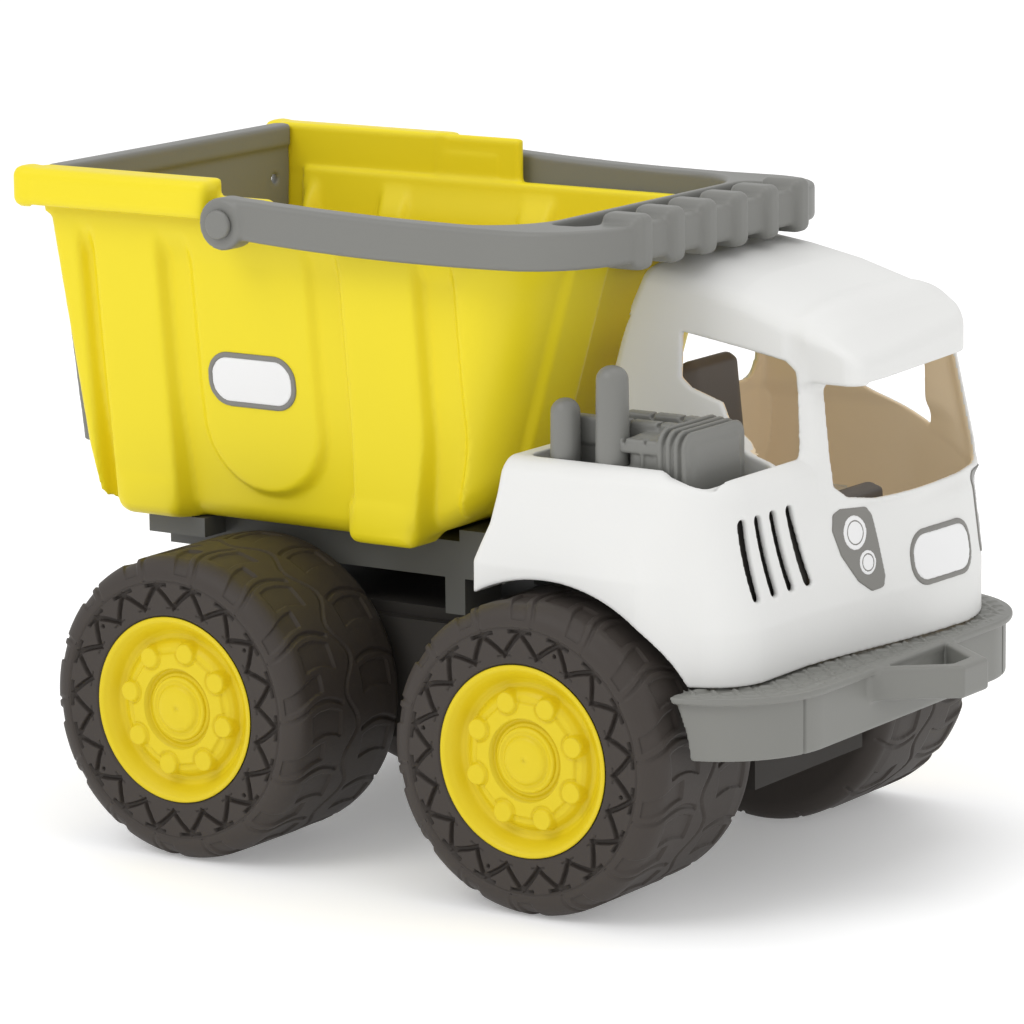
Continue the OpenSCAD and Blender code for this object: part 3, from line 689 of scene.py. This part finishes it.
def bucket_field(x, y, z):
    """Outer surface of the bucket with its posts, tongue and panels."""
    up = z - FLOOR_Z
    hw = 58.5 + up * WALL_SLOPE
    fade = 1 - sstep(196, 210, z)
    low = sstep(FLOOR_Z, 150, z)
    posts = band(x, -140, -111.5) + band(x, -39.7 + 2 * low, -12.2 + 6 * low)
    # tongue: straight sides over a half circle
    u = np.where(z > 142.6, np.abs(x + 75.4), np.sqrt((x + 75.4) ** 2 + (z - 142.6) ** 2)) - 24.6
    tongue = 1 - sstep(-2.0, 1.6, u)
    corner = sstep(-1.5 + 8 * low, 2 + 8 * low, x)
    edge = 1 - sstep(-146.5, -143.5, x)
    proud = np.clip(posts * 4.2 + tongue * 2.2 + corner * 3.6 + edge * 4.2, 0, 4.2)
    # the walls between the posts sink deeper towards the floor
    deep = 1 + 0.75 * (1 - sstep(FLOOR_Z, 160, z))
    side = (np.abs(y) - (hw - (4.2 - proud) * fade * deep)) * 0.97
    rear = lerp(z, [105, 112, 130, 212], [-144.5, -146.4, -149.8, -157.2]) - x
    flutes = band(np.abs(y), 18, 42) * 2.4 * fade
    # 2.4 back from the front line, as doubles: in single precision the rear lip meshes differently
    back = np.full(np.shape(z), 2.4)
    front = (x - (15 + 0.293 * (z - 120) - back + flutes + 2.4 * (1 - fade))) * 0.96
    belly = 106.0 + np.clip((x + 34) / 40, 0, 2) ** 2 * 13.5
    bottom = (belly - z) * 0.93
    rr = 12 + np.clip(up, 0, 105) * 0.13
    f = rmax(side, front, rr)
    f = rmax(f, rear, 2.5)
    f = rmax(f, bottom, 7.0)
    return f


H = 1.0
g = grid((-168, -79, 105), (44, 79, 229), H)
x, y, z = g
ay = np.abs(y)
outer = bucket_field(x, y, z)
f = rmax(outer, -(outer + BUCKET_WALL), 0.5)
f = rmax(f, z - 212, 1.0)
# rear opening for the gate
gate = np.maximum(np.maximum(x + 147.5, 128.5 - z), ay - (55.6 + (z - FLOOR_Z) * WALL_SLOPE))
f = rmax(f, -gate, 0.9)
# feet of the corner posts
for x0, x1, zb in ((-138, -113, 106.6), (-42, -14, 105.6)):
    foot = rbox(x, ay, z, (x0, 40, zb), (x1, 59.5, 122), 4.0)
    f = rmin(f, np.maximum(foot, -(outer + 9)), 2.0)
# raised walls and the folded-over rear flanges
wall = rbox(x, ay, z, (-159, 66.6, 210.5), (-84.5, 69.9, 227.3), 1.2)
f = rmin(f, wall, 1.0)
# the far wall runs on a little past the pivot
f = rmin(f, rbox(x, y, z, (-90, 66.6, 210.5), (-54, 69.9, 227.3), 1.2), 1.0)
fl = rbox(x, ay, z, (-166.6, 67.5, 213.6), (-84.5, 78, 227.1), 3.2)
hollow = rbox(x, ay, z, (-164, 70.2, 208), (-87, 75.8, 224.9), 1.5)
f = rmin(f, np.maximum(fl, -hollow), 1.0)
f = rmin(f, rbox(x, ay, z, (-166.6, 66.9, 213.6), (-158.5, 78, 227.1), 3.2), 1.2)
# wall behind the pivot bosses
f = rmin(f, rbox(x, ay, z, (-88, 66.6, 207), (-63, 69.9, 221.5), 1.2), 1.0)
# room for the gate's hinge rod, the rivet and the handle's boss
f = np.maximum(f, -np.maximum(rbox(x, ay, z, (-161, -70, 214), (-152, 66.6, 229), 0.5), ay - 66.6))
f = np.maximum(f, -np.maximum(ycyl(x, z, PIVOT_X, PIVOT_Z, 9.9), 71.5 - ay))
v, q = net(f, g, H)
piece("bucket_moulded", v, q, YELLOW, "bucket", ["bucket"])
del f, outer

make_badges()

# tailgate
g = grid((-161, -73, 128), (-149, 73, 229.6), 0.8)
x, y, z = g
ay = np.abs(y)
gx = -156 + (HINGE_Z - z) * 0.042
plate_f = rmax(np.abs(x - gx) - 1.7, ay - (55.2 + (z - FLOOR_Z) * WALL_SLOPE), 1.2)
plate_f = rmax(rmax(plate_f, z - 227.0, 1.2), 130 - z, 1.2)
plate_f = np.maximum(plate_f, ay - 66.1)
plate_f = rmin(plate_f, rbox(x, ay, z, (-160.3, -70, 218.9), (-152.8, 66.1, 227.1), 1.2), 0.6)
plate_f = np.minimum(plate_f, np.maximum(ycyl(x, z, HINGE_X, HINGE_Z, 2.5), ay - 71))
# small hole in the corner
plate_f = np.maximum(plate_f, 1.8 - np.hypot(y - 57, z - 208))
v, q = net(plate_f, g, 0.8)
piece("tailgate_moulded", v, q, GRAY, "tailgate", ["tailgate"])


# ---------- handle ----------

H = 0.8
g = grid((-85, -83, 204), (74, 83, 225), H)
x, y, z = g
ay = np.abs(y)


def bail(x1, y1, r):
    """The handle's plan, open to the rear."""
    return rmax(x - x1, ay - y1, r)


top = 219.6 + 0.00035 * (x - 21) ** 2
low = 206.1 + 0.0005 * (x - 6) ** 2
plan = np.maximum(bail(71, 81, 30), -bail(43.5, 72.5, 22))
f = rmax(rmax(plan, z - top, 1.6), low - z, 1.6)
lip = np.maximum(bail(71, 81, 30), -bail(38, 72.5, 24))
lip = rmax(rmax(lip, z - top, 1.6), 212.8 - z, 1.0)
f = np.minimum(f, lip)
RIBS, RIB_PITCH = 6, 19.8
for i in range(RIBS):
    yc = (i - (RIBS - 1) / 2) * RIB_PITCH
    rib = rbox(x, y, z, (57, yc - 4.6, 205.5), (73, yc + 4.6, 223.8), 3.0)
    f = rmin(f, rib, 1.0)
chan = rmax(rmax(slab(x, 41.5, 57), ay - 61, 5.0), 211 - z, 1.5)
f = rmax(f, -chan, 0.8)
f = np.maximum(f, PIVOT_X - x)
boss = rmax(ycyl(x, z, PIVOT_X, PIVOT_Z, 8.8), slab(ay, 72.6, 81.8), 0.8)
f = np.minimum(f, boss)
f = np.maximum(f, -ycyl(x, z, PIVOT_X, PIVOT_Z, 3.05))
v, q = net(f, g, H)
piece("handle_moulded", v, q, GRAY, "handle", ["handle"])
for s, hand in ((-1, "right"), (1, "left")):
    g = grid((-81, 66, 208), (-69, 85, 220), 0.5)
    x, y, z = g
    shank = np.maximum(ycyl(x, z, PIVOT_X, PIVOT_Z, 3.0), slab(y, 67.5, 82))
    f = np.minimum(shank, rmax(ycyl(x, z, PIVOT_X, PIVOT_Z, 4.9), slab(y, 81.6, 84), 1.0))
    v, q = net(f, g, 0.5)
    v = v * np.array([1, s, 1])
    piece(f"handle_rivet_{hand}_moulded", v, q if s > 0 else q[:, ::-1], GRAY, "bucket",
          [f"handle_rivet_{hand}"])


# ---------- bumper ----------

H = 0.5
g = grid((100, -97, 56), (167.5, 97, 80), H)
x, y, z = g
ay = np.abs(y)


def bump_plan(d):
    """The bumper's plan, drawn in by d."""
    return rmax(x - (144.4 - d), ay - (95.9 - d), 40.0 - d)


# tread bars that lie crosswise in turn
PITCH = 5.0
i, j = np.floor(x / PITCH), np.floor(y / PITCH)
du, dw = x - PITCH * (i + 0.5), y - PITCH * (j + 0.5)
turn = 1 - 2 * ((i + j) % 2)
diag = math.sqrt(0.5)
across, along = np.abs(du + turn * dw) * diag, np.abs(du - turn * dw) * diag
bars = (1 - sstep(0.35, 1.05, across)) * (1 - sstep(1.7, 2.5, along)) * (bump_plan(3.0) < 0)
ledge = rmax(rmax(bump_plan(0.0), z - 77.8 - 0.7 * bars, 0.5), 75.6 - z, 0.8)
ledge = np.maximum(ledge, -bump_plan(25.0))
skirt = np.maximum(bump_plan(2.2), -bump_plan(5.4))
skirt = rmax(rmax(skirt, z - 78, 0.5), 57 - z, 0.9)
seam = np.maximum(np.abs(ay - 65.5) - 0.5, -(bump_plan(2.2) + 0.9))
skirt = np.maximum(skirt, -seam)
f = rmin(ledge, skirt, 0.6)
loop = rmax(poly(x, y, [(141, -28), (166.9, -8), (166.9, 8), (141, 28)]), slab(z, 66.8, 77.6), 1.4)
eye = poly(x, y, [(145.2, -18), (160.5, -5.4), (160.5, 5.4), (145.2, 18)])
f = rmin(f, rmax(loop, -(eye - 0.5), 0.8), 1.5)
f = np.maximum(f, -ycyl(x, z, AXLES["front"], AXLE_Z, ARCH_R))
f = np.maximum(f, 101 - x)
v, q = net(f, g, H)
piece("front_bumper_moulded", v, q, PLATE_LIT, "chassis", ["front_bumper"])


# ---------- finishes on the CAD pieces that show ----------

FINISH = {"chassis": DARK_AND_SHADE, "cradle": CRADLE_SHADED, "cradle_hinge_pin": STEEL, "axle_front": STEEL, "axle_rear": STEEL,
          "axle_push_nuts": STEEL, "chassis_screws": STEEL}
for name, mat in FINISH.items():
    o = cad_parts[name]
    o.data.materials.clear()
    o.data.materials.append(mat)


# ---------- floor, light and camera ----------

def paint(name, rgb, rough):
    """Plain matt white that stays pale in the shade."""
    m = bpy.data.materials.new(name)
    m.use_nodes = True
    b = m.node_tree.nodes["Principled BSDF"]
    b.inputs["Base Color"].default_value = (*rgb, 1)
    b.inputs["Roughness"].default_value = rough
    b.inputs["Emission Color"].default_value = (1, 1, 1, 1)
    b.inputs["Emission Strength"].default_value = 0.24
    return m


bpy.ops.mesh.primitive_plane_add(size=14)
ground = bpy.context.object
ground.name = "floor"
ground.data.materials.append(paint("floor_paint", (0.93, 0.93, 0.93), 0.6))

world = bpy.data.worlds.new("studio")
bpy.context.scene.world = world
world.use_nodes = True
world.node_tree.nodes["Background"].inputs["Color"].default_value = (1, 1, 1, 1)
world.node_tree.nodes["Background"].inputs["Strength"].default_value = 0.84


def lamp(name, place, target, size, power, colour=(1, 1, 1)):
    d = bpy.data.lights.new(name, "AREA")
    d.shape = "DISK"
    d.size = size
    d.energy = power
    d.color = colour
    o = bpy.data.objects.new(name, d)
    bpy.context.scene.collection.objects.link(o)
    o.location = place
    o.rotation_euler = (Vector(target) - Vector(place)).to_track_quat("-Z", "Y").to_euler()


lamp("key", (-0.5, -1.5, 1.7), (0, 0, 0.1), 1.2, 11)
lamp("fill", (1.9, -0.4, 0.9), (0.05, 0, 0.12), 1.2, 2)
lamp("top", (0.2, 0.3, 2.2), (0, 0, 0.1), 1.6, 7)

scene = bpy.context.scene
scene.view_settings.view_transform = "Standard"
scene.view_settings.look = "None"
cam = bpy.data.cameras.new("photo_view")
cam.sensor_width = 36
cam.lens = 188.55
cam.clip_end = 50
eye = bpy.data.objects.new("photo_view", cam)
scene.collection.objects.link(eye)
az, el, roll = (math.radians(a) for a in (33.8051, 11.167, -0.596))
back = Vector((math.sin(az) * math.cos(el), -math.cos(az) * math.cos(el), math.sin(el)))
right = Vector((math.cos(az), math.sin(az), 0))
upv = back.cross(right)
c, s = math.cos(roll), math.sin(roll)
r2, u2 = c * right + s * upv, -s * right + c * upv
at = Vector((0.987494, -1.495875, 0.464337))
eye.matrix_world = Matrix(((r2.x, u2.x, back.x, at.x), (r2.y, u2.y, back.y, at.y),
                           (r2.z, u2.z, back.z, at.z), (0, 0, 0, 1)))
scene.camera = eye
